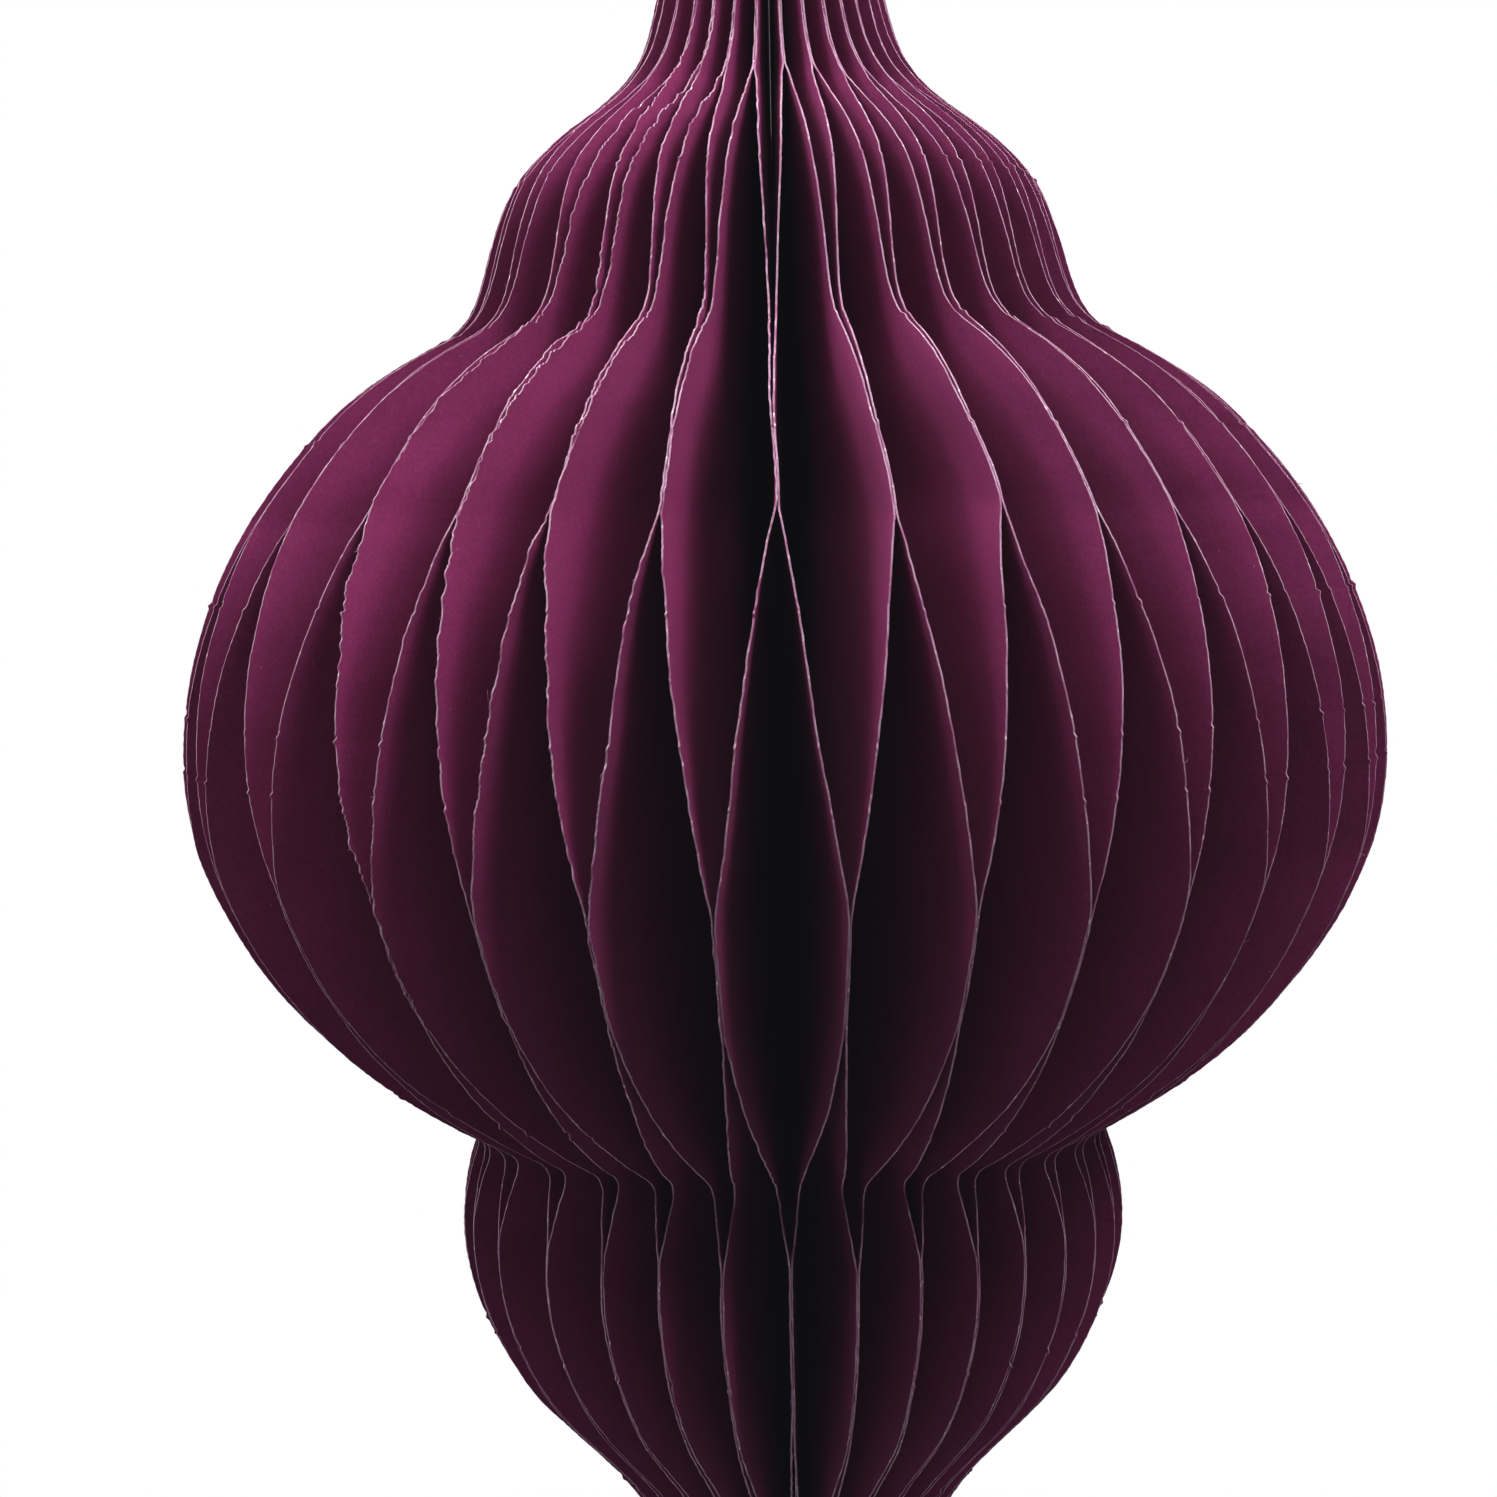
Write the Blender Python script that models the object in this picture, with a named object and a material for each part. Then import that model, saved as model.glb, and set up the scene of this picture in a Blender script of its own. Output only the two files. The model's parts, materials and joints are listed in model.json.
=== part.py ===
"""Paper honeycomb lantern ball: a pad of paper leaves that opens into a full ring.

The leaves are glued in pairs. Each pair is hinged to the next one along the spine,
so that the ring folds up, pair by pair, into a flat pad between two card covers.
The object stands open, with the covers face to face at the back (+Y) and the top at z = 0.
"""

import math

import bmesh
import bpy
from mathutils import Matrix, Vector

MM = 0.001

# Paper and card
SHEET = 0.2 * MM
PAIR = 2 * SHEET
CARD = 0.6 * MM
CARD_INSET = 0.8 * MM

# Spine: one pair takes up this much of the pad's thickness, with clearance on both sides
PITCH = 0.7 * MM
CLEARANCE = (PITCH - PAIR) / 2
SPINE_RADIUS = 3.5 * MM

# Opening between neighbours when the ring is open, in degrees, from the seam round the left side,
# across the front and back round the right side. The ring is a little uneven, as paper is.
LEFT_GAPS = (9.6, 13.4, 10)
FRONT_GAPS = (14.5, 13.7, 10.2, 10.2, 10.2, 10.8, 10.3, 10.2, 9.8, 9.6, 10.1, 10.4)
RIGHT_GAPS = (10.4, 12.7, 10)

# Half outline of a leaf: (radius, height) in mm, from the top of the neck to the tail
OUTLINE = (
    (10.6, 0), (11.5, -8), (13.1, -16.2), (15.2, -23.1), (18.9, -27.8), (25.1, -32.5),
    (29.8, -37.2), (32.1, -41.8), (33.6, -46.5), (35.0, -51.1), (37.4, -54.6), (43.7, -58.2),
    (50.5, -62.9), (57.2, -69.9), (63.5, -79.0), (68.2, -90.3), (70.1, -101.7), (69.0, -113.3),
    (63.9, -124.7), (56.7, -134.1), (48.7, -141.2), (41.1, -146.3), (37.5, -148.6),
    (38.1, -151.1), (39.5, -157.6), (39.0, -165.0), (36.4, -172.6), (32.0, -179.9),
    (25.0, -187.4), (20.8, -192.4), (17.2, -198.2), (14.0, -206.5), (11.3, -215.4),
    (9.0, -224.0), (7.4, -231.0), (6.6, -235.0),
)
CURVE_STEPS = 2

# Magnets set in the covers, and the hole for a hanging cord
MAGNET_RADIUS = 4 * MM
MAGNET_HEIGHT = 0.5 * MM
MAGNET_PLAY = 0.3 * MM
MAGNET_CHAMFER = 0.08 * MM
MAGNETS = {"upper": (45 * MM, -78 * MM), "middle": (56 * MM, -112 * MM), "lower": (26 * MM, -168 * MM)}
HOLE_RADIUS = 1.2 * MM
HOLE_PLACE = (3.8 * MM, -6 * MM)
CIRCLE_SIDES = 32


def clear_scene():
    for obj in list(bpy.data.objects):
        bpy.data.objects.remove(obj)


def material(name, colour, roughness, metallic=0.0):
    made = bpy.data.materials.new(name)
    made.use_nodes = True
    shader = made.node_tree.nodes["Principled BSDF"]
    shader.inputs["Base Color"].default_value = (*colour, 1)
    shader.inputs["Roughness"].default_value = roughness
    shader.inputs["Metallic"].default_value = metallic
    return made


def curve_through(points, steps):
    """Points of a Catmull-Rom curve through the given ones."""
    padded = [points[0], *points, points[-1]]
    found = []
    for i in range(len(points) - 1):
        a, b, c, d = (Vector(p) for p in padded[i : i + 4])
        for step in range(steps):
            t = step / steps
            found.append(
                b
                + (c - a) * (t / 2)
                + (2 * a - 5 * b + 4 * c - d) * (t * t / 2)
                + (3 * b - a - 3 * c + d) * (t * t * t / 2)
            )
    found.append(Vector(points[-1]))
    return found


def leaf_outline(inset=0.0):
    """Closed outline of a leaf in its own plane: x away from the spine, y up."""
    edge = [
        (p.x * MM - SPINE_RADIUS - inset, p.y * MM)
        for p in curve_through(OUTLINE, CURVE_STEPS)
    ]
    top, bottom = edge[0][1] - inset, edge[-1][1] + inset
    edge = [(x, y) for x, y in edge if bottom <= y <= top]
    return [(0.0, top), (edge[0][0], top), *edge[1:-1], (edge[-1][0], bottom), (0.0, bottom)]


def slab(name, outline, low, high):
    """A flat sheet with that outline in the local XZ plane, from low to high along local Y."""
    mesh = bpy.data.meshes.new(name)
    bm = bmesh.new()
    face = bm.faces.new([bm.verts.new((x, low, z)) for x, z in outline])
    made = bmesh.ops.extrude_face_region(bm, geom=[face])
    moved = [v for v in made["geom"] if isinstance(v, bmesh.types.BMVert)]
    bmesh.ops.translate(bm, verts=moved, vec=(0, high - low, 0))
    bmesh.ops.recalc_face_normals(bm, faces=bm.faces)
    bm.to_mesh(mesh)
    bm.free()
    return mesh


def add_object(name, mesh, paint, place):
    obj = bpy.data.objects.new(name, mesh)
    if not mesh.materials:
        mesh.materials.append(paint)
    obj.matrix_world = place
    bpy.context.scene.collection.objects.link(obj)
    return obj


def graded(first, last, count):
    """Gaps that grow evenly from first to last."""
    return [first + (last - first) * i / (count - 1) for i in range(count)]


def gap_angles():
    """The opening at each hinge, from the left cover round to the right cover, adding up to a full turn."""
    left = graded(*LEFT_GAPS)[::-1]
    right = graded(*RIGHT_GAPS)
    spare = 360 - sum(FRONT_GAPS)
    share = spare / (sum(left) + sum(right))
    return [math.radians(g) for g in (*(x * share for x in left), *FRONT_GAPS, *(x * share for x in right))]


def spine():
    """(hinge points, turn of each pair) for the open ring, centred on the ball's axis.
    A pair's turn is zero at the front (-Y) and grows anticlockwise seen from above."""
    gaps = gap_angles()
    turns = []
    turn = -math.pi
    for gap in gaps[:-1]:
        turn += gap
        turns.append(turn)
    hinges = [Vector((0, 0, 0))]
    for turn in turns:
        hinges.append(hinges[-1] + PITCH * Vector((math.cos(turn), math.sin(turn), 0)))
    middle = (hinges[0] + hinges[-1]) / 2
    depth = max(h.y for h in hinges) + min(h.y for h in hinges)
    shift = Vector((middle.x, depth / 2, 0))
    return [h - shift for h in hinges], turns


def hinge_place(point, turn):
    """A frame on the hinge: local X runs out along the leaf and local Y towards the next pair."""
    return Matrix.Translation(point) @ Matrix.Rotation(turn - math.pi / 2, 4, "Z")


def add_leaf_pairs(hinges, turns, paint):
    mesh = slab("leaf_pair", leaf_outline(), CLEARANCE, CLEARANCE + PAIR)
    for i, (point, turn) in enumerate(zip(hinges, turns), start=1):
        add_object(f"leaf_pair_{i:02d}", mesh, paint, hinge_place(point, turn))


def disc(name, radius, low, high, centre):
    """A round blank along local Y at centre (x, z)."""
    mesh = bpy.data.meshes.new(name)
    bm = bmesh.new()
    turn = Matrix.Rotation(math.pi / 2, 4, "X")
    place = Matrix.Translation((centre[0], (low + high) / 2, centre[1])) @ turn
    bmesh.ops.create_cone(
        bm, cap_ends=True, segments=CIRCLE_SIDES, radius1=radius, radius2=radius,
        depth=high - low, matrix=place,
    )
    bm.to_mesh(mesh)
    bm.free()
    return mesh


def cut_round_hole(obj, paint, name, radius, centre, low, high):
    cutter = add_object(name, disc(name, radius, low - CARD, high + CARD, centre), paint, obj.matrix_world)
    cutter.hide_render = True
    cutter.display_type = "WIRE"
    cut = obj.modifiers.new(name, "BOOLEAN")
    cut.operation = "DIFFERENCE"
    cut.solver = "EXACT"
    cut.object = cutter


def add_magnet(name, centre, low, high, paint, place):
    sunk = (high - low - MAGNET_HEIGHT) / 2
    obj = add_object(name, disc(name, MAGNET_RADIUS, low + sunk, high - sunk, centre), paint, place)
    obj.data.shade_smooth()
    obj.data.set_sharp_from_angle(angle=math.radians(30))
    bevel = obj.modifiers.new("chamfer", "BEVEL")
    bevel.width = MAGNET_CHAMFER
    bevel.segments = 1
    bevel.limit_method = "ANGLE"


def add_cover(side, point, turn, outward, card, metal):
    """A card cover beside its hinge, with its magnets. outward (+1 or -1) points away from the leaves."""
    low, high = sorted((outward * CLEARANCE, outward * (CLEARANCE + CARD)))
    place = hinge_place(point, turn)
    mesh = slab(f"cover_{side}", leaf_outline(CARD_INSET), low, high)
    cover = add_object(mesh.name, mesh, card, place)
    cut_round_hole(cover, card, f"cut_{side}_cord", HOLE_RADIUS, HOLE_PLACE, low, high)
    for where, centre in MAGNETS.items():
        cut_round_hole(
            cover, card, f"cut_{side}_{where}", MAGNET_RADIUS + MAGNET_PLAY, centre, low, high
        )
        add_magnet(f"magnet_{side}_{where}", centre, low, high, metal, place)


def main():
    clear_scene()
    paper = material("leaf_paper", (0.13, 0.035, 0.085), 0.85)
    card = material("cover_card", (0.10, 0.028, 0.066), 0.75)
    metal = material("magnet_nickel", (0.62, 0.60, 0.57), 0.3, 1.0)
    hinges, turns = spine()
    add_leaf_pairs(hinges, turns, paper)
    add_cover("left", hinges[0], -math.pi, -1, card, metal)
    add_cover("right", hinges[-1], math.pi, 1, card, metal)


main()
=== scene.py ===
"""The looks of the paper honeycomb lantern ball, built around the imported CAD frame.

Every leaf is its own sheet of paper with a torn, paler edge. It is modelled flat, as it lies in the
closed pad, and then turned about the spine's hinge by the share of the opening that its height calls
"""

import json
import math

import bpy
import numpy as np
from mathutils import Matrix, Vector

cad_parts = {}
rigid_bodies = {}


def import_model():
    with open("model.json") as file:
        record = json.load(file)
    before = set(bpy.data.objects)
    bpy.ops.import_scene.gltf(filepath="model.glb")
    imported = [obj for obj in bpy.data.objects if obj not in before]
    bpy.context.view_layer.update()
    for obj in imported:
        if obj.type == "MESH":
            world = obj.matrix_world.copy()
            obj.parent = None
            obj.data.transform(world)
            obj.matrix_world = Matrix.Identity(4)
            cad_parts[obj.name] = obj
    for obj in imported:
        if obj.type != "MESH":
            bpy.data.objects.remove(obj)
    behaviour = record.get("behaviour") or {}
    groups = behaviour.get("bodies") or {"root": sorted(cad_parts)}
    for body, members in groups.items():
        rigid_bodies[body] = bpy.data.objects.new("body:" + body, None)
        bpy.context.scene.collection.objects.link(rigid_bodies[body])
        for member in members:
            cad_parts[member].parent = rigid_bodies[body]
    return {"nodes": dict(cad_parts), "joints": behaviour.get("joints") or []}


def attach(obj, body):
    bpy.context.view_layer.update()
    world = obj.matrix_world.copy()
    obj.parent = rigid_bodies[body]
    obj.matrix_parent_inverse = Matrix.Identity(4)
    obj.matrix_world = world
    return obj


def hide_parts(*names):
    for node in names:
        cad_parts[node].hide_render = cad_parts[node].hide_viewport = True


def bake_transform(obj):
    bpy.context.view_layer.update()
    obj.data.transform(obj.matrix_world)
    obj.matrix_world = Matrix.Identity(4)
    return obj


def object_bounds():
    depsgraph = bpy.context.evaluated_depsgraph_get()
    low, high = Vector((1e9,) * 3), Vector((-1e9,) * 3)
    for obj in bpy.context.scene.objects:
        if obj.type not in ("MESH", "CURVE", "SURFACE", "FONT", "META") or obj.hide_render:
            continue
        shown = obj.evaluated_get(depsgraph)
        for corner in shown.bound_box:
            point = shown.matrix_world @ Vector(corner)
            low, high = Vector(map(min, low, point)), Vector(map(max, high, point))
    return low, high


MM = 0.001
TINY = 1e-12

# One seed for the whole ball, and one more number for each kind of piece that draws its own
SEED = 41
SEED_WANDER = 17
SEED_BEAD = 7
SEED_END_LEAF = 9
SEED_FIBRES = 23

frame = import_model()
cad_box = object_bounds()

# ---------------------------------------------------------------- the frame's own measures

JOINTS = sorted(frame["joints"], key=lambda j: j["name"])
BODIES = [JOINTS[0]["parent"], *(j["child"] for j in JOINTS)]
PAIRS = BODIES[1:-1]
HINGES = np.array([j["pos_m"][:2] for j in JOINTS])
GAPS = np.radians([j["range_deg"][1] for j in JOINTS])
PITCH = float(np.linalg.norm(HINGES[1] - HINGES[0]))

# ---------------------------------------------------------------- paper

SHEET = 0.19 * MM
GLUE_FILM = 0.01 * MM

# A leaf's points stand in rows down its height. Each row has columns at these shares of the way from
# the spine to the edge, one at the start of the rim strip, and one on the edge.
ROW_STEP = 0.25 * MM
ROW_STEP_AT_NICK = 0.12 * MM
COLUMNS = (0.0, 0.4, 0.75)
RIM_STRIP = 0.9 * MM
RIM_BULGE = 0.05 * MM

# How far the cut edge may stray inward and outward, and how far the outline's corners are eased
EDGE_LIMITS = (-0.4 * MM, 0.5 * MM)
CORNER_SOFTNESS = 1.3 * MM
CORNER_SHIFTS = (-1, -0.5, 0, 0.5, 1)

# Heights in mm where the cutting die left a small burr on most leaves
NICKS = (-38.0, -55.5, -67.5, -85.4, -98.0, -104.0, -141.0, -171.0, -191.0)
NICK_REACH = 0.6 * MM
NICK_CHANCE = 0.88
NICK_SPREAD = 0.15 * MM

# A burr in mm, with the notch above it, and how much stronger it is on a torn leaf
BURR_WIDTH = (0.16, 0.3)
BURR_HEIGHT = (0.05, 0.22)
NOTCH_DEPTH = (0.04, 0.16)
BURR_BEND = 0.06
TORN_BURRS = 1.3

# Waviness of every cut edge, in parts of (size, wavelength in mm). FINE_HEIGHT scales the fine part.
FINE_EDGE = ((1, 0.42), (0.6, 1.2))
FINE_HEIGHT = (0.02, 0.035)
SLOW_EDGE = (0.10, 9)
SIDE_EDGE = (0.03, 1.1)

# A torn edge besides: its teeth, a slower wave, and the patches in which they stand
TEETH = ((1, 0.6), (0.6, 1.5))
TEETH_HEIGHT = 0.34
TEETH_BASE = 0.1
TORN_EDGE = (0.2, 4)
TORN_PATCHES = (0.6, 12)
TORN_SHARE = 0.7
TORN_SIDE = 2.0

# How far a leaf has crossed over at each height, in mm: 0 where it is glued to the other leaf of its pair,
# and 1 where it is glued to the next pair
CROSSING = (
    *((-27, 0), (-28.1, 0.17), (-30.6, 0.34), (-33.2, 0.47), (-38.2, 0.6), (-47.2, 0.8), (-54, 0.89)),
    *((-60, 0.96), (-66, 0.985), (-68, 1), (-75.4, 1), (-78.5, 0.9), (-87.9, 0.64), (-98.9, 0.39)),
    *((-108.5, 0.17), (-116, 0), (-126, 0), (-130.8, 0.06), (-136.9, 0.18), (-142, 0.36), (-146, 0.54)),
    *((-150, 0.7), (-154, 0.87), (-157.5, 1), (-173, 1), (-186, 0.91), (-191.3, 0.84), (-194, 0.73)),
    (-204, 0),
)

# The middles of the glue stripes, in mm: on the leaf's own pair and on the next pair by turns.
# Each pair's and each joint's stripes sit up to STRIPE_JITTER higher or lower.
STRIPES = (-27, -72, -121, -167, -207)
STRIPE_JITTER = 0.8

# Waves of a leaf between its glue stripes, as shares of the opening: (size, wavelength in mm).
# Two leaves that are glued across a joint wander together. Both grow towards the edge.
WAVE = 0.045
WAVE_PARTS = ((1, 17), (0.35, 6))
WANDER = 0.05
WANDER_LENGTH = 9
WAVE_GROWTH = 1.5

# A crease at a glue stripe's end is this soft at the cut edge and further in, with its smoothing steps
EDGE_CREASE = 0.3 * MM
INNER_CREASE = 2.2 * MM
CREASE_STEPS = (-1.5, -1.0, -0.5, 0.0, 0.5, 1.0, 1.5)

# Leaves between these turns, in degrees, have a rough torn edge between these heights
TORN_TURNS = (-42, -4)
TORN_BELOW = -20 * MM
TORN_ABOVE = -128 * MM

# A leaf that meets a cover follows it all the way, and any other leaf meets its neighbour halfway
REACH_TO_COVER = 1.0
REACH_TO_LEAF = 0.5

# Each leaf's flat coordinates start this much further along, so that no two show the same dye and fibres
FLAT_STEP = 0.31
END_LEAF_FLAT_STEP = 0.17


def smooth_noise(rng, places, wavelength):
    """Random values from -1 to 1 along places, smooth over about one wavelength."""
    places = np.asarray(places)
    low, high = places.min() - wavelength, places.max() + 2 * wavelength
    knots = rng.uniform(-1, 1, int((high - low) / wavelength) + 2)
    at = (places - low) / wavelength
    i = np.clip(at.astype(int), 0, len(knots) - 2)
    t = at - i
    t = t * t * (3 - 2 * t)
    return knots[i] * (1 - t) + knots[i + 1] * t


def summed_noise(rng, places, parts):
    """The sum of smooth noises, each given as (size, wavelength in mm)."""
    return sum(size * smooth_noise(rng, places, length * MM) for size, length in parts)


def hermite(keys, values, slopes, at):
    """Cubic curve through values, which are numbers or points, at keys, with those slopes."""
    i = np.clip(np.searchsorted(keys, at, side="right") - 1, 0, len(keys) - 2)
    column = (-1,) + (1,) * (values.ndim - 1)
    width = (keys[i + 1] - keys[i]).reshape(column)
    t = (at - keys[i]).reshape(column) / width
    from_start = values[i] * (2 * t**3 - 3 * t**2 + 1) + slopes[i] * width * (t**3 - 2 * t**2 + t)
    return from_start + values[i + 1] * (3 * t**2 - 2 * t**3) + slopes[i + 1] * width * (t**3 - t**2)


def place_axes(index):
    """(hinge point, outward direction, direction to the next pair) of the pair with that index."""
    along = HINGES[index + 1] - HINGES[index]
    along = along / np.linalg.norm(along)
    return HINGES[index], np.array((along[1], -along[0])), along


def pair_turn(index):
    """Turn of a pair in degrees: zero at the front, and growing anticlockwise seen from above."""
    _, out, _ = place_axes(index)
    return math.degrees(math.atan2(out[0], -out[1]))


def cad_outline():
    """The leaf's outer edge from the CAD pair: distance from the spine and height, top first."""
    origin, out, _ = place_axes(0)
    points = np.array([v.co for v in frame["nodes"][PAIRS[0]].data.vertices], float)
    reach = (points[:, :2] - origin) @ out
    heights = np.unique(np.round(points[:, 2], 7))[::-1]
    level = np.round(points[:, 2], 7)
    return np.array([(reach[level == z].max(), z) for z in heights])


def leaf_rows():
    """Points down the leaf's outer edge, closer together at the nicks, their outward normals and run."""
    points = cad_outline()
    run = np.concatenate(([0], np.cumsum(np.linalg.norm(np.diff(points, axis=0), axis=1))))
    slopes = np.gradient(points, run, axis=0)
    steps = [0.0]
    heights = np.array(NICKS) * MM
    while steps[-1] < run[-1]:
        z = np.interp(steps[-1], run, points[:, 1])
        near = np.abs(heights - z).min() < NICK_REACH
        steps.append(steps[-1] + (ROW_STEP_AT_NICK if near else ROW_STEP))
    steps[-1] = run[-1]
    at = np.array(steps)
    to_end = np.clip(np.minimum(at, run[-1] - at) / CORNER_SOFTNESS, 0, 1)
    shifts = [at + k * CORNER_SOFTNESS * to_end for k in CORNER_SHIFTS]
    rows = sum(hermite(run, points, slopes, shift) for shift in shifts) / len(shifts)
    tangent = np.gradient(rows, at, axis=0)
    tangent /= np.linalg.norm(tangent, axis=1)[:, None]
    normal = np.stack((-tangent[:, 1], tangent[:, 0]), axis=1)
    return rows, normal, at


ROWS, ROW_NORMALS, ROW_RUN = leaf_rows()
ROW_COUNT = len(ROWS)
COLUMN_COUNT = len(COLUMNS) + 2


def opening(heights, pair_shift, joint_shift):
    """How far a leaf has crossed over at each height: 0 on its own pair's glue, 1 on the neighbour's."""
    keys, values = np.array(CROSSING[::-1], float).T
    secants = np.diff(values) / np.diff(keys)
    product = secants[1:] * secants[:-1]
    inner = np.where(product > 0, 2 * product / (secants[1:] + secants[:-1] + TINY), 0)
    slopes = np.concatenate(([0], inner, [0]))
    shifts = np.where(np.arange(len(STRIPES)) % 2 == 0, pair_shift, joint_shift)
    mm = heights / MM
    mm = mm - np.interp(mm, STRIPES[::-1], shifts[::-1])
    flat = np.clip(mm, keys[0], keys[-1]).ravel()
    return np.clip(hermite(keys, values, slopes, flat), 0, 1).reshape(heights.shape)


def soft_opening(heights, pair_shift, joint_shift):
    """opening() with its creases eased, least at the cut edge, for a row of points at each height."""
    reach = np.array([INNER_CREASE] * (heights.shape[1] - 1) + [EDGE_CREASE])
    reach[-2] = (INNER_CREASE + EDGE_CREASE) / 2
    weights = np.exp(-np.square(CREASE_STEPS))
    parts = [w * opening(heights + k * reach, pair_shift, joint_shift) for w, k in zip(weights, CREASE_STEPS)]
    return sum(parts) / weights.sum()


def burrs(rng, heights, strength):
    """(outward, sideways) offsets of the edge where the die left its nicks, each with a notch above it."""
    outward, sideways = np.zeros(ROW_COUNT), np.zeros(ROW_COUNT)
    for nick in NICKS:
        if rng.random() > NICK_CHANCE:
            continue
        centre = nick * MM + rng.normal(0, NICK_SPREAD)
        width = rng.uniform(*BURR_WIDTH) * MM
        bell = np.exp(-(((heights - centre) / width) ** 2))
        notch = np.exp(-(((heights - centre - 2.2 * width) / (1.3 * width)) ** 2))
        outward += strength * (rng.uniform(*BURR_HEIGHT) * bell - rng.uniform(*NOTCH_DEPTH) * notch) * MM
        sideways += strength * rng.uniform(-BURR_BEND, BURR_BEND) * MM * bell
    return outward, sideways


def edge_offsets(rng, turn):
    """(outward, sideways) offsets of the cut edge all the way down a leaf."""
    heights = ROWS[:, 1]
    torn = TORN_TURNS[0] <= turn <= TORN_TURNS[1]
    outward = rng.uniform(*FINE_HEIGHT) * summed_noise(rng, ROW_RUN, FINE_EDGE) * MM
    outward += summed_noise(rng, ROW_RUN, [SLOW_EDGE]) * MM
    if torn:
        where = (heights < TORN_BELOW) & (heights > TORN_ABOVE)
        patch = np.clip(TORN_SHARE + summed_noise(rng, ROW_RUN, [TORN_PATCHES]), 0, 1) * where
        teeth = np.abs(summed_noise(rng, ROW_RUN, TEETH[:1])) + summed_noise(rng, ROW_RUN, TEETH[1:])
        outward += (TEETH_HEIGHT * teeth - TEETH_BASE) * patch * MM
        outward += summed_noise(rng, ROW_RUN, [TORN_EDGE]) * patch * MM
    sideways = summed_noise(rng, ROW_RUN, [SIDE_EDGE]) * MM * (TORN_SIDE if torn else 1.0)
    nick_out, nick_side = burrs(rng, heights, TORN_BURRS if torn else 1.0)
    return outward + nick_out, sideways + nick_side


# ---------------------------------------------------------------- leaf mesh


def grid_faces(first, flip):
    """Quads of one face of the sheet, whose points start at index first."""
    i, j = np.meshgrid(np.arange(ROW_COUNT - 1), np.arange(COLUMN_COUNT - 1), indexing="ij")
    a = first + (i * COLUMN_COUNT + j).ravel()
    quads = np.stack((a, a + 1, a + 1 + COLUMN_COUNT, a + COLUMN_COUNT), axis=1)
    return quads[:, ::-1] if flip else quads


def strip_faces(left, right):
    """Quads between two lines of points that run down the leaf, facing away from the sheet."""
    return np.stack((left[:-1], right[:-1], right[1:], left[1:]), axis=1)


def leaf_template():
    """The mesh that all leaves share: two faces, a rounded rim along the cut edge, and closed ends."""
    size = ROW_COUNT * COLUMN_COUNT
    first = np.arange(ROW_COUNT) * COLUMN_COUNT
    near_edge, far_edge = first + COLUMN_COUNT - 1, first + COLUMN_COUNT - 1 + size
    middle = 2 * size + np.arange(ROW_COUNT)
    rim = [*strip_faces(near_edge, middle), *strip_faces(middle, far_edge)]
    spine = strip_faces(first + size, first)
    ends = []
    for row, flip in ((0, False), (ROW_COUNT - 1, True)):
        for j in range(COLUMN_COUNT - 1):
            a = row * COLUMN_COUNT + j
            quad = [a, a + size, a + size + 1, a + 1]
            ends.append(quad[::-1] if flip else quad)
        cap = [near_edge[row], far_edge[row], middle[row]]
        ends.append(cap[::-1] if flip else cap)
    sheet = [*grid_faces(0, False), *grid_faces(size, True)]
    faces = [[int(v) for v in f] for f in (*sheet, *spine, *ends, *rim)]
    mesh = bpy.data.meshes.new("leaf")
    mesh.from_pydata([(0, 0, 0)] * (2 * size + ROW_COUNT), [], faces)
    slots = np.zeros(len(faces), np.int32)
    slots[len(faces) - len(rim) :] = 1
    mesh.polygons.foreach_set("material_index", slots)
    mesh.shade_smooth()
    cut_lines = np.concatenate([np.stack((line[:-1], line[1:]), axis=1) for line in (near_edge, far_edge)])
    cut_lines = {tuple(line) for line in cut_lines.tolist()}
    sharp = [tuple(sorted(e.vertices)) in cut_lines for e in mesh.edges]
    mesh.attributes.new("sharp_edge", "BOOLEAN", "EDGE").data.foreach_set("value", sharp)
    return mesh


def leaf_sheet(rng, turn):
    """Distance from the spine and height of each point of one face, and the sideways offset of its edge."""
    outward, sideways = edge_offsets(rng, turn)
    outward = np.clip(outward, *EDGE_LIMITS)
    outward[[0, -1]] = 0
    edge = ROWS + ROW_NORMALS * outward[:, None]
    rim = ROWS - ROW_NORMALS * RIM_STRIP
    across = [ROWS[:, 0] * f for f in COLUMNS] + [rim[:, 0], edge[:, 0]]
    rim_heights = np.clip(rim[:, 1], ROWS[-1, 1], ROWS[0, 1])
    up = [ROWS[:, 1]] * len(COLUMNS) + [rim_heights, edge[:, 1]]
    aside = [np.zeros(ROW_COUNT)] * (COLUMN_COUNT - 1) + [sideways]
    return (np.stack(a, axis=1) for a in (across, up, aside))


def solid_sheet(across, up, middle, thickness):
    """(x, y, z) of the points of a sheet's two faces and its rounded rim. middle is its place along y."""
    x = np.concatenate((across.ravel(), across.ravel(), across[:, -1] + RIM_BULGE))
    y = np.concatenate(((middle + thickness / 2).ravel(), (middle - thickness / 2).ravel(), middle[:, -1]))
    z = np.concatenate((up.ravel(), up.ravel(), up[:, -1]))
    return x, y, z


def leaf_share(across, up, rng, shifts):
    """How far each point of a leaf has crossed over, from 0 to 1, and how near it is to the widest edge."""
    share = soft_opening(up, *shifts)
    depth = (across / ROWS[:, 0].max()) ** WAVE_GROWTH
    wave = summed_noise(rng, ROWS[:, 1], WAVE_PARTS)
    return np.clip(share + WAVE * wave[:, None] * depth * 4 * share * (1 - share), 0, 1), depth


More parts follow.
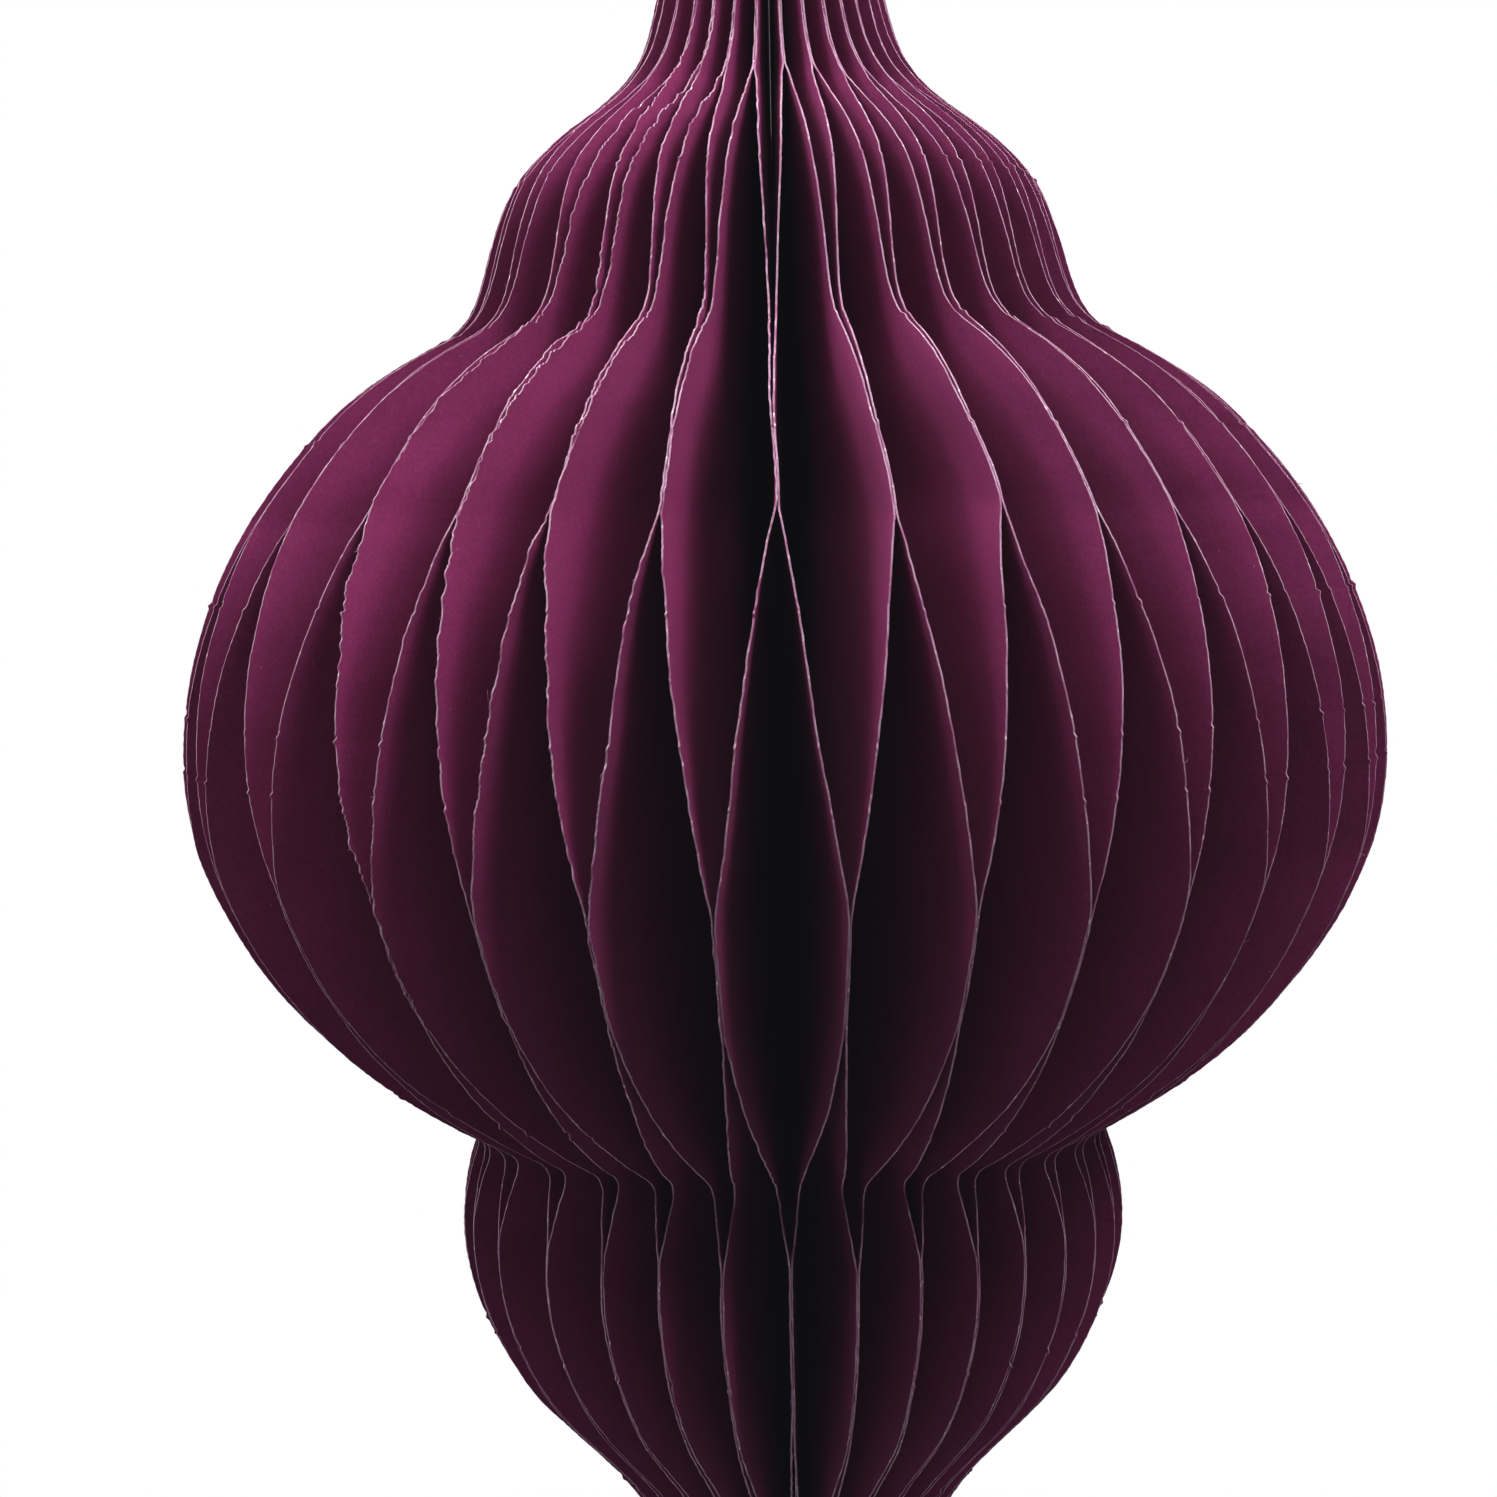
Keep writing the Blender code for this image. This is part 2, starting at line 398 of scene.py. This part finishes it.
def leaf_points(index, side, reach, rng, shifts, wander):
    """(points, blend shares, flat coordinates) of one leaf of a pair.

    side is 1 for the leaf towards the next pair and -1 for the other.
    wander is how far, from -1 to 1, the two leaves that are glued across the joint sway together at each row.
    """
    across, up, aside = leaf_sheet(rng, pair_turn(index))
    share, depth = leaf_share(across, up, rng, shifts)
    crossed = SHEET / 2 + GLUE_FILM + share * (PITCH / 2 - SHEET - 2 * GLUE_FILM)
    x, y, z = solid_sheet(across, up, PITCH / 2 + side * crossed + aside, SHEET)
    sway = side * WANDER * wander[:, None] * depth * share**2
    share = share * reach + (sway if reach < 1 else 0)
    share = np.concatenate((share.ravel(), share.ravel(), share[:, -1]))
    pivot = PITCH if side > 0 else 0.0
    angle = side * share * GAPS[index + (side > 0)]
    turned_x = x * np.cos(angle) - (y - pivot) * np.sin(angle)
    turned_y = x * np.sin(angle) + (y - pivot) * np.cos(angle) + pivot
    origin, out, along = place_axes(index)
    ground = origin + turned_x[:, None] * out + turned_y[:, None] * along
    return np.column_stack((ground, z)), share, np.stack((x, z), axis=1)


def add_sheet(name, template, points, flat, shift):
    """A sheet object with those points, and its flat coordinates in metres as a UV map."""
    mesh = template.copy()
    mesh.name = name
    mesh.vertices.foreach_set("co", points.astype(np.float32).ravel())
    corners = np.zeros(len(mesh.loops), np.int32)
    mesh.loops.foreach_get("vertex_index", corners)
    uv = mesh.uv_layers.new(name="flat")
    uv.data.foreach_set("uv", (flat[corners] + shift).astype(np.float32).ravel())
    mesh.update()
    obj = bpy.data.objects.new(name, mesh)
    bpy.context.scene.collection.objects.link(obj)
    return obj


def set_shares(obj):
    """Bakes obj's transform into its mesh points."""
    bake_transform(obj)


def build_leaves(paints):
    """All the leaves, the mesh that they share, and each one's edge points and shares by (index, side)."""
    template = leaf_template()
    for paint in paints:
        template.materials.append(paint)
    jitter = np.random.default_rng(SEED)
    pair_shifts = jitter.uniform(-STRIPE_JITTER, STRIPE_JITTER, len(PAIRS))
    joint_shifts = jitter.uniform(-STRIPE_JITTER, STRIPE_JITTER, len(JOINTS))
    edges = {}
    for index, pair in enumerate(PAIRS):
        for side in (-1, 1):
            joint = index + (side > 0)
            reach = REACH_TO_COVER if joint in (0, len(JOINTS) - 1) else REACH_TO_LEAF
            rng = np.random.default_rng((SEED, index, side + 1))
            shifts = (pair_shifts[index], joint_shifts[joint])
            drift = np.random.default_rng((SEED, joint, SEED_WANDER))
            wander = smooth_noise(drift, ROWS[:, 1], WANDER_LENGTH * MM)
            points, shares, flat = leaf_points(index, side, reach, rng, shifts, wander)
            number = 2 * index + (side > 0) + 1
            leaf = add_sheet(f"leaf_{number:02d}", template, points, flat, FLAT_STEP * number)
            set_shares(leaf)
            if side < 0:
                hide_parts(pair)
            edges[index, side] = (points[-ROW_COUNT:], shares[-ROW_COUNT:])
    return template, edges


# ---------------------------------------------------------------- materials


def new_material(name):
    made = bpy.data.materials.new(name)
    made.use_nodes = True
    nodes = made.node_tree.nodes
    return made, nodes, made.node_tree.links, nodes["Principled BSDF"]


def add_noise(nodes, links, coordinates, scale, detail=3.0, stretch=None):
    source = coordinates
    if stretch:
        mapping = nodes.new("ShaderNodeMapping")
        mapping.inputs["Scale"].default_value = stretch
        links.new(coordinates, mapping.inputs["Vector"])
        source = mapping.outputs["Vector"]
    noise = nodes.new("ShaderNodeTexNoise")
    noise.inputs["Scale"].default_value = scale
    noise.inputs["Detail"].default_value = detail
    links.new(source, noise.inputs["Vector"])
    return noise.outputs["Fac"]


def add_ramp(nodes, links, value, stops):
    ramp = nodes.new("ShaderNodeValToRGB")
    links.new(value, ramp.inputs["Fac"])
    elements = ramp.color_ramp.elements
    for element, (place, colour) in zip(elements, stops):
        element.position = place
        element.color = (*colour, 1)
    for place, colour in stops[2:]:
        elements.new(place).color = (*colour, 1)
    return ramp.outputs["Color"]


def add_mix(nodes, links, factor, a, b, blend_type="MIX"):
    mix = nodes.new("ShaderNodeMix")
    mix.data_type = "RGBA"
    mix.blend_type = blend_type
    for socket, value in ((mix.inputs["Factor"], factor), (mix.inputs[6], a), (mix.inputs[7], b)):
        if isinstance(value, bpy.types.NodeSocket):
            links.new(value, socket)
        elif isinstance(value, float):
            socket.default_value = value
        else:
            socket.default_value = (*value, 1)
    return mix.outputs[2]


def add_range(nodes, links, value, low, high, to_low, to_high):
    node = nodes.new("ShaderNodeMapRange")
    for name, number in (("From Min", low), ("From Max", high), ("To Min", to_low), ("To Max", to_high)):
        node.inputs[name].default_value = number
    links.new(value, node.inputs["Value"])
    return node.outputs["Result"]


def add_bump(nodes, links, height, distance, strength, before=None):
    bump = nodes.new("ShaderNodeBump")
    bump.inputs["Distance"].default_value = distance
    bump.inputs["Strength"].default_value = strength
    links.new(height, bump.inputs["Height"])
    if before is not None:
        links.new(before, bump.inputs["Normal"])
    return bump.outputs["Normal"]


def flat_coordinates(nodes):
    uv = nodes.new("ShaderNodeUVMap")
    uv.uv_map = "flat"
    return uv.outputs["UV"]


PLUM = (0.175, 0.0115, 0.078)
PLUM_DEEP = (0.138, 0.0088, 0.061)
PLUM_LIGHT = (0.222, 0.026, 0.108)
EDGE_PALE = (0.30, 0.18, 0.25)
EDGE_FIBRE = (0.62, 0.52, 0.57)
EDGE_DYED = (0.19, 0.055, 0.12)
CARD = (0.10, 0.02, 0.06)
CARD_CORE = (0.30, 0.20, 0.22)
GLUE = (0.13, 0.035, 0.075)
NICKEL = (0.62, 0.60, 0.56)
NICKEL_WORN = (0.48, 0.46, 0.42)
MOTTLE = [(0.3, (0.72, 0.72, 0.72)), (0.7, (1, 1, 1))]

# Noise scales, in features per metre, and how much longer than wide a fibre or a rib is drawn
PAPER_CLOUDS = 60
PAPER_WAVES = 110
PAPER_SPECKS = 260
PAPER_GRAIN = 900
PAPER_FIBRES = 1700
PAPER_MOTTLE = 2600
FIBRE_STRETCH = (1.0, 0.16, 1.0)
EDGE_PATCHES = 260
EDGE_BARE = 900
EDGE_FIBRES = 3000
CARD_CLOUDS = 70
CARD_GRAIN = 1100
NICKEL_WEAR = 500
NICKEL_MARKS = 2500
NICKEL_STRETCH = (1.0, 1.0, 0.1)
GLUE_SKIN = 700
GLUE_STRETCH = (1.0, 1.0, 0.3)

# Relief of each surface
WAVE_DEPTH = 0.6 * MM
GRAIN_DEPTH = 0.05 * MM
FIBRE_DEPTH = 0.03 * MM
EDGE_DEPTH = 0.04 * MM
CARD_DEPTH = 0.06 * MM
NICKEL_DEPTH = 0.01 * MM
GLUE_DEPTH = 0.08 * MM


def paper_material():
    """Uncoated dyed paper: cloudy dye, short fibres, a few pale specks and a soft nap."""
    made, nodes, links, shader = new_material("leaf_paper_soft")
    flat = flat_coordinates(nodes)
    cloud = add_noise(nodes, links, flat, PAPER_CLOUDS, 4)
    grain = add_noise(nodes, links, flat, PAPER_GRAIN, 5)
    fibre = add_noise(nodes, links, flat, PAPER_FIBRES, 2, FIBRE_STRETCH)
    colour = add_ramp(nodes, links, cloud, [(0.3, PLUM_DEEP), (0.7, PLUM)])
    colour = add_mix(nodes, links, add_range(nodes, links, grain, 0.35, 0.75, 0.0, 0.45), colour, PLUM_LIGHT)
    colour = add_mix(nodes, links, add_range(nodes, links, fibre, 0.62, 0.8, 0.0, 0.35), colour, PLUM_LIGHT)
    specks = nodes.new("ShaderNodeTexVoronoi")
    specks.inputs["Scale"].default_value = PAPER_SPECKS
    links.new(flat, specks.inputs["Vector"])
    speck = add_range(nodes, links, specks.outputs["Distance"], 0.028, 0.015, 0.0, 0.8)
    colour = add_mix(nodes, links, speck, colour, EDGE_PALE)
    mottle = add_ramp(nodes, links, add_noise(nodes, links, flat, PAPER_MOTTLE, 4), MOTTLE)
    colour = add_mix(nodes, links, 1.0, colour, mottle, "MULTIPLY")
    links.new(colour, shader.inputs["Base Color"])
    links.new(add_range(nodes, links, grain, 0.3, 0.7, 0.78, 0.92), shader.inputs["Roughness"])
    shader.inputs["Specular IOR Level"].default_value = 0.2
    waves = add_noise(nodes, links, flat, PAPER_WAVES, 2)
    relief = add_bump(nodes, links, waves, WAVE_DEPTH, 0.25)
    relief = add_bump(nodes, links, grain, GRAIN_DEPTH, 0.5, relief)
    relief = add_bump(nodes, links, fibre, FIBRE_DEPTH, 0.6, relief)
    links.new(relief, shader.inputs["Normal"])
    return made


def edge_material():
    """The cut edge: pale fibres from inside the sheet, with dye between them."""
    made, nodes, links, shader = new_material("leaf_paper_edge")
    flat = flat_coordinates(nodes)
    patch = add_noise(nodes, links, flat, EDGE_PATCHES, 3)
    fibre = add_noise(nodes, links, flat, EDGE_FIBRES, 2)
    colour = add_ramp(nodes, links, patch, [(0.34, EDGE_DYED), (0.56, EDGE_PALE)])
    dyed = add_range(nodes, links, fibre, 0.5, 0.72, 0.0, 0.6)
    colour = add_mix(nodes, links, dyed, colour, EDGE_DYED)
    bare = add_range(nodes, links, add_noise(nodes, links, flat, EDGE_BARE, 2), 0.62, 0.74, 0.0, 0.8)
    colour = add_mix(nodes, links, bare, colour, EDGE_FIBRE)
    links.new(colour, shader.inputs["Base Color"])
    shader.inputs["Roughness"].default_value = 0.9
    shader.inputs["Specular IOR Level"].default_value = 0.2
    links.new(add_bump(nodes, links, fibre, EDGE_DEPTH, 0.8), shader.inputs["Normal"])
    return made


def card_material():
    """Dyed card with a pressed grain. Its cut edges show a paler core.

    A card's faces point along its own X, and its cut edges point any other way.
    """
    made, nodes, links, shader = new_material("cover_card_grained")
    coordinates = nodes.new("ShaderNodeTexCoord")
    place = coordinates.outputs["Object"]
    grain = add_noise(nodes, links, place, CARD_GRAIN, 5)
    cloud = add_noise(nodes, links, place, CARD_CLOUDS, 3)
    normal = nodes.new("ShaderNodeSeparateXYZ")
    links.new(coordinates.outputs["Normal"], normal.inputs["Vector"])
    across = nodes.new("ShaderNodeMath")
    across.operation = "ABSOLUTE"
    links.new(normal.outputs["X"], across.inputs[0])
    on_edge = add_range(nodes, links, across.outputs["Value"], 0.6, 0.4, 0.0, 1.0)
    colour = add_ramp(nodes, links, cloud, [(0.3, CARD), (0.7, PLUM_DEEP)])
    colour = add_mix(nodes, links, add_range(nodes, links, grain, 0.4, 0.75, 0.0, 0.5), colour, PLUM_LIGHT)
    dyed = add_range(nodes, links, grain, 0.35, 0.65, 0.0, 1.0)
    core = add_mix(nodes, links, dyed, CARD_CORE, EDGE_DYED)
    links.new(add_mix(nodes, links, on_edge, colour, core), shader.inputs["Base Color"])
    links.new(add_range(nodes, links, grain, 0.3, 0.7, 0.6, 0.85), shader.inputs["Roughness"])
    shader.inputs["Specular IOR Level"].default_value = 0.35
    links.new(add_bump(nodes, links, grain, CARD_DEPTH, 0.6), shader.inputs["Normal"])
    return made


def nickel_material():
    """Nickel plate with fine turning marks and a few worn patches."""
    made, nodes, links, shader = new_material("magnet_nickel_plate")
    place = nodes.new("ShaderNodeTexCoord").outputs["Object"]
    marks = add_noise(nodes, links, place, NICKEL_MARKS, 3, NICKEL_STRETCH)
    worn = add_noise(nodes, links, place, NICKEL_WEAR, 3)
    colour = add_ramp(nodes, links, worn, [(0.35, NICKEL_WORN), (0.6, NICKEL)])
    links.new(colour, shader.inputs["Base Color"])
    shader.inputs["Metallic"].default_value = 1.0
    links.new(add_range(nodes, links, marks, 0.3, 0.7, 0.22, 0.42), shader.inputs["Roughness"])
    links.new(add_bump(nodes, links, marks, NICKEL_DEPTH, 0.4), shader.inputs["Normal"])
    return made


def glue_material():
    """Dried glue over the stacked spine edges: lumps along the spine, and a dull skin."""
    made, nodes, links, shader = new_material("spine_glue")
    place = nodes.new("ShaderNodeTexCoord").outputs["Object"]
    skin = add_noise(nodes, links, place, GLUE_SKIN, 4, GLUE_STRETCH)
    colour = add_ramp(nodes, links, skin, [(0.35, PLUM_DEEP), (0.7, GLUE)])
    links.new(colour, shader.inputs["Base Color"])
    links.new(add_range(nodes, links, skin, 0.3, 0.7, 0.45, 0.7), shader.inputs["Roughness"])
    links.new(add_bump(nodes, links, skin, GLUE_DEPTH, 0.7), shader.inputs["Normal"])
    return made


# ---------------------------------------------------------------- spine, end leaves, covers and magnets

# Section of the glue bead on one pair's spine edge: outward and along the pad, in mm
BEAD = ((0, 0.01), (-0.1, 0.03), (-0.2, 0.1), (-0.24, 0.35), (-0.2, 0.6), (-0.1, 0.67), (0, 0.69))
BEAD_ROWS = 236
BEAD_LUMPS = ((0.22, 2.5), (0.12, 0.8))
END_LEAF = 0.11 * MM
END_LEAF_GAP = 0.02 * MM
BACK = 180


def tube_faces(rings, sides):
    """Faces of a closed tube whose points are rings of that many sides, one after another."""
    last = (rings - 1) * sides
    faces = []
    for start in range(0, last, sides):
        for k in range(sides):
            after = (k + 1) % sides
            faces.append([start + k, start + after, start + sides + after, start + sides + k])
    return [*faces, list(range(sides))[::-1], [last + k for k in range(sides)]]


def add_smooth_mesh(name, points, faces, paint):
    mesh = bpy.data.meshes.new(name)
    mesh.from_pydata(points, [], faces)
    mesh.shade_smooth()
    mesh.materials.append(paint)
    obj = bpy.data.objects.new(name, mesh)
    bpy.context.scene.collection.objects.link(obj)
    return obj


def add_bead(name, index, paint):
    """The dried glue that closes one pair's spine edge."""
    rng = np.random.default_rng((SEED, index, SEED_BEAD))
    origin, out, along = place_axes(index)
    heights = np.linspace(ROWS[0, 1], ROWS[-1, 1], BEAD_ROWS)
    lump = 1 + summed_noise(rng, heights, BEAD_LUMPS)
    section = np.array(BEAD) * MM
    points = []
    for z, size in zip(heights, lump):
        ring = origin + np.outer(section[:, 0] * size, out) + np.outer(section[:, 1], along)
        points += [(*p, z) for p in ring]
    bead = add_smooth_mesh(name, points, tube_faces(BEAD_ROWS, len(BEAD)), paint)
    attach(bead, PAIRS[index])


def add_end_leaf(name, index, side, template, body):
    """The single leaf that lies flat on a cover, beside the pair with that index."""
    across, up, _ = leaf_sheet(np.random.default_rng((SEED, index, SEED_END_LEAF)), BACK)
    hinge = 0 if side < 0 else len(JOINTS) - 1
    _, out, along = place_axes(index)
    turn = side * GAPS[hinge]
    out, along = (
        out * math.cos(turn) + along * math.sin(turn),
        along * math.cos(turn) - out * math.sin(turn),
    )
    middle = np.full(across.shape, side * (END_LEAF_GAP + END_LEAF / 2))
    x, y, z = solid_sheet(across, up, middle, END_LEAF)
    ground = HINGES[hinge] + x[:, None] * out + y[:, None] * along
    flat = np.stack((x, z), axis=1)
    shift = END_LEAF_FLAT_STEP * (side + 2)
    leaf = add_sheet(name, template, np.column_stack((ground, z)), flat, shift)
    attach(leaf, body)


# Loose paper fibres: turn of the pair in degrees, which leaf of it, height and length in mm, curl in degrees
FIBRES = (
    (-26.8, 1, -93.5, 1.9, 150),
    (-16.6, 1, -100.2, 1.0, -120),
    (-6.4, -1, -146.5, 2.0, 200),
    (-6.4, 1, -171.5, 1.3, -160),
    (-16.6, -1, -52.5, 1.2, 130),
    (4.4, 1, -36.0, 0.9, -140),
    (34.7, -1, -101.0, 0.8, 120),
    (119.2, 1, -88.0, 1.4, 150),
    (-117.4, -1, -131.0, 1.2, -130),
)
# Scattered fibres: how many, between these heights and of these lengths in mm, and how far they curl
SHORT_FIBRES = {"count": 40, "heights": (-125, -30), "lengths": (0.35, 0.8), "curl": 150}
TORN_FIBRES = {"count": 22, "heights": (-122, -45), "lengths": (0.3, 0.7), "curl": 90}
FIBRE_RADIUS = 0.055 * MM
FIBRE_TAPER = 0.75
FIBRE_ROOT = 0.1 * MM
FIBRE_STEPS = 14
FIBRE_SIDES = 6


def fibre_path(start, out, length, curl):
    """Points along a curled fibre that leaves start along out and bends up or down, and sideways a little."""
    step = length / FIBRE_STEPS
    up = np.array((0, 0, 1.0))
    aside = np.cross(up, out)
    point, path = np.array(start) - out * FIBRE_ROOT, []
    for i in range(FIBRE_STEPS + 1):
        angle = math.radians(curl) * (i / FIBRE_STEPS) ** 1.3
        path.append(point)
        heading = out * math.cos(angle) + up * math.sin(angle) + 0.35 * aside * math.sin(2 * angle)
        point = point + heading / np.linalg.norm(heading) * step
    return np.array(path)


def add_fibre(name, path, paint):
    """A tapered tube along path."""
    tangents = np.gradient(path, axis=0)
    points = []
    for i, (centre, ahead) in enumerate(zip(path, tangents)):
        ahead = Vector(ahead).normalized()
        side = ahead.orthogonal().normalized()
        radius = FIBRE_RADIUS * (1 - FIBRE_TAPER * i / FIBRE_STEPS)
        for k in range(FIBRE_SIDES):
            spoke = Matrix.Rotation(2 * math.pi * k / FIBRE_SIDES, 3, ahead) @ side
            points.append(Vector(centre) + spoke * radius)
    fibre = add_smooth_mesh(name, points, tube_faces(FIBRE_STEPS + 1, FIBRE_SIDES), paint)
    uv = fibre.data.uv_layers.new(name="flat")
    for loop in fibre.data.loops:
        place = fibre.data.vertices[loop.vertex_index].co
        uv.data[loop.index].uv = (place.x, place.z)
    return fibre


def scattered(rng, kind, pick_turn):
    """Random fibres of that kind, in the form of FIBRES. pick_turn gives the turn of each."""
    return [
        (
            pick_turn(),
            rng.choice((-1, 1)),
            rng.uniform(*kind["heights"]),
            rng.uniform(*kind["lengths"]),
            rng.uniform(-kind["curl"], kind["curl"]),
        )
        for _ in range(kind["count"])
    ]


def add_fibres(edges, paint):
    """Fibres on the leaf edges. edges gives each leaf's edge points and shares by (index, side)."""
    turns = np.array([pair_turn(index) for index in range(len(PAIRS))])
    rng = np.random.default_rng((SEED, SEED_FIBRES))
    short = scattered(rng, SHORT_FIBRES, lambda: rng.choice(turns))
    torn = scattered(rng, TORN_FIBRES, lambda: rng.uniform(*TORN_TURNS))
    for number, (turn, side, height, length, curl) in enumerate((*FIBRES, *short, *torn), 1):
        index = int(np.argmin(np.abs(turns - turn)))
        points, shares = edges[index, side]
        row = int(np.argmin(np.abs(points[:, 2] - height * MM)))
        out = np.array((*place_axes(index)[1], 0))
        fibre = add_fibre(f"fibre_{number:02d}", fibre_path(points[row], out, length * MM, curl), paint)
        set_shares(fibre)


def finish_cad_nodes(card, nickel):
    """Better materials for the covers and magnets, whose CAD shapes are right."""
    for name, node in frame["nodes"].items():
        paint = card if name.startswith("cover") else nickel if name.startswith("magnet") else None
        for material_slot in node.material_slots if paint else ():
            material_slot.material = paint


# ---------------------------------------------------------------- camera, light and stage


CAMERA_PLACE = (-0.0042, -0.3157, -0.0763)
CAMERA_DOWN = 5.03
CAMERA_ROLL = -1.1
LENS = 63.5


def add_camera():
    data = bpy.data.cameras.new("camera")
    data.sensor_width = 36
    data.lens = LENS
    data.clip_start, data.clip_end = 0.01, 50
    camera = bpy.data.objects.new("camera", data)
    pitch, roll = math.radians(90 - CAMERA_DOWN), math.radians(CAMERA_ROLL)
    turn = Matrix.Rotation(pitch, 4, "X") @ Matrix.Rotation(roll, 4, "Z")
    camera.matrix_world = Matrix.Translation(CAMERA_PLACE) @ turn
    bpy.context.scene.collection.objects.link(camera)
    bpy.context.scene.camera = camera


# Name, place in metres and watts of each square soft box; all of them face the ball
STUDIO_LIGHTS = (
    ("left", (-0.816, 0, 0.28), 4.0),
    ("left_high", (-0.38, -0.03, 0.45), 2.9),
    ("left_back", (-0.3, 0.3, 0.45), 1.65),
    ("left_front", (-0.392, -0.392, 0.609), 1.05),
    ("front", (0, -0.554, 0.609), 0.8),
    ("front_over", (0, -0.18, 0.55), 1.6),
    ("left_over", (-0.18, 0, 0.55), 0.9),
    ("right_front", (0.32, -0.31, 0.4), 2.9),
    ("right_high", (0.41, 0, 0.42), 2.25),
)
# Soft boxes with a grid, which narrows their beam to this angle, light the neck and shoulder
GRID_LIGHTS = (
    ("neck_right", (0.34, -0.24, 0.3), 0.12),
    ("neck_left", (-0.36, -0.2, 0.3), 0.09),
)
GRID_TARGET = (0, 0, 0.04)
GRID_SPREAD = math.radians(26)
LIGHT_TARGET = (0, 0, -0.1)
LIGHT_SIZE = 0.25
# The bright backdrop veils the lens a little: red, green and blue added to black
LENS_VEIL = (0.0044, 0.0042, 0.0052)
AMBIENT = (0.9, 0.92, 1.0)
AMBIENT_STRENGTH = 0.03
FLOOR_GREY = (0.45, 0.45, 0.46)
FLOOR_SIZE = 6
FLOOR_DROP = 0.25


def add_area_light(name, place, target, watts, spread=math.pi):
    data = bpy.data.lights.new(name, "AREA")
    data.size = LIGHT_SIZE
    data.spread = spread
    data.energy = watts
    light = bpy.data.objects.new(name, data)
    light.location = place
    light.rotation_euler = (Vector(target) - Vector(place)).to_track_quat("-Z", "Y").to_euler()
    bpy.context.scene.collection.objects.link(light)


def mix_shaders(nodes, links, factor, first, second):
    mix = nodes.new("ShaderNodeMixShader")
    links.new(factor, mix.inputs["Fac"])
    links.new(first, mix.inputs[1])
    links.new(second, mix.inputs[2])
    return mix.outputs["Shader"]


def white_for_camera(nodes, links, white, other):
    """The eye sees plain white, and everything else sees other."""
    path = nodes.new("ShaderNodeLightPath")
    return mix_shaders(nodes, links, path.outputs["Is Camera Ray"], other, white)


def add_world():
    world = bpy.data.worlds.new("studio")
    world.use_nodes = True
    bpy.context.scene.world = world
    nodes, links = world.node_tree.nodes, world.node_tree.links
    ambient = nodes["Background"]
    ambient.inputs["Color"].default_value = (*AMBIENT, 1)
    ambient.inputs["Strength"].default_value = AMBIENT_STRENGTH
    white = nodes.new("ShaderNodeBackground")
    white.inputs["Color"].default_value = (1, 1, 1, 1)
    white.inputs["Strength"].default_value = 1.0
    seen = white_for_camera(nodes, links, white.outputs["Background"], ambient.outputs["Background"])
    links.new(seen, nodes["World Output"].inputs["Surface"])


def add_floor():
    """A plain pale floor. From underneath it is clear, so that the ball can be looked at from below."""
    bpy.ops.mesh.primitive_plane_add(size=FLOOR_SIZE, location=(0, 0, cad_box[0].z - FLOOR_DROP))
    floor = bpy.context.object
    floor.name = "floor"
    made, nodes, links, shader = new_material("pale_floor")
    shader.inputs["Base Color"].default_value = (*FLOOR_GREY, 1)
    shader.inputs["Roughness"].default_value = 0.9
    white = nodes.new("ShaderNodeEmission")
    white.inputs["Strength"].default_value = 1.0
    seen = white_for_camera(nodes, links, white.outputs["Emission"], shader.outputs["BSDF"])
    underneath = nodes.new("ShaderNodeNewGeometry").outputs["Backfacing"]
    clear = nodes.new("ShaderNodeBsdfTransparent").outputs["BSDF"]
    links.new(mix_shaders(nodes, links, underneath, seen, clear), nodes["Material Output"].inputs["Surface"])
    floor.data.materials.append(made)


def add_studio():
    view = bpy.context.scene.view_settings
    view.view_transform = "Standard"
    view.use_curve_mapping = True
    for curve, veil in zip(view.curve_mapping.curves, LENS_VEIL):
        curve.points[0].location = (0, veil)
    view.curve_mapping.update()
    for name, place, watts in STUDIO_LIGHTS:
        add_area_light(name, place, LIGHT_TARGET, watts)
    for name, place, watts in GRID_LIGHTS:
        add_area_light(name, place, GRID_TARGET, watts, GRID_SPREAD)
    add_world()
    add_floor()


def main():
    add_camera()
    edge_paint = edge_material()
    template, edges = build_leaves((paper_material(), edge_paint))
    add_fibres(edges, edge_paint)
    glue = glue_material()
    for index in range(len(PAIRS)):
        add_bead(f"spine_glue_{index + 1:02d}", index, glue)
    add_end_leaf("end_leaf_left", 0, -1, template, BODIES[0])
    add_end_leaf("end_leaf_right", len(PAIRS) - 1, 1, template, BODIES[-1])
    finish_cad_nodes(card_material(), nickel_material())
    add_studio()


main()
